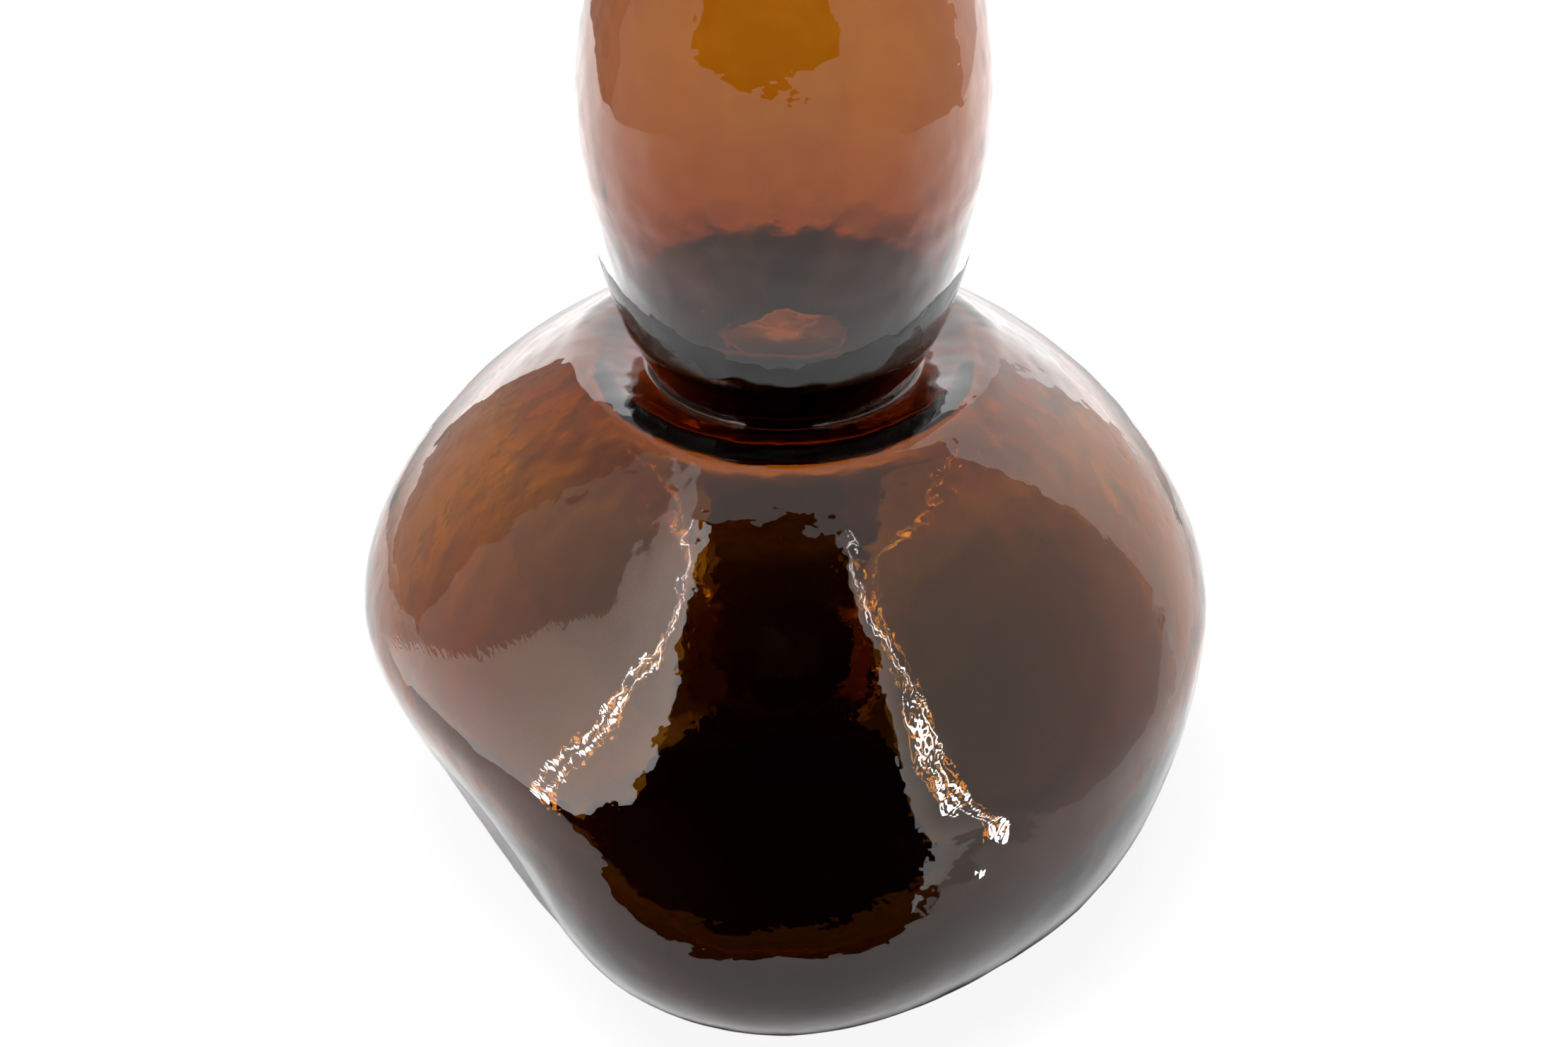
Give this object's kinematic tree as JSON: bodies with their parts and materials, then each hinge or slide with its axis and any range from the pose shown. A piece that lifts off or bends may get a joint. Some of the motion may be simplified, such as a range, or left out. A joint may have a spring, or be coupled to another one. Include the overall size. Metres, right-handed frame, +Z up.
{
  "type": "gourd vase",
  "caption": "Free-blown gourd vase in see-through amber glass: a lopsided round lower bulb, a tightly pinched waist and an egg-shaped upper bulb with a rounded open mouth.",
  "frame": {"origin": "middle of the flat ground underside of the foot, on the table", "axes": "+Z up along the vase's axis; -Y is the front, the side the belly sags towards and the picture is taken from; +X is the viewer's right"},
  "size_m": [0.2994, 0.3196, 0.4412],
  "materials": {
    "amber_glass": "fire-polished, clear all through, lightly rippled"
  },
  "bodies": {
    "root": {"foot_pad": "amber_glass", "lower_bulb": "amber_glass", "waist_collar": "amber_glass", "upper_bulb": "amber_glass", "mouth_lip": "amber_glass"}
  },
  "joints": []
}
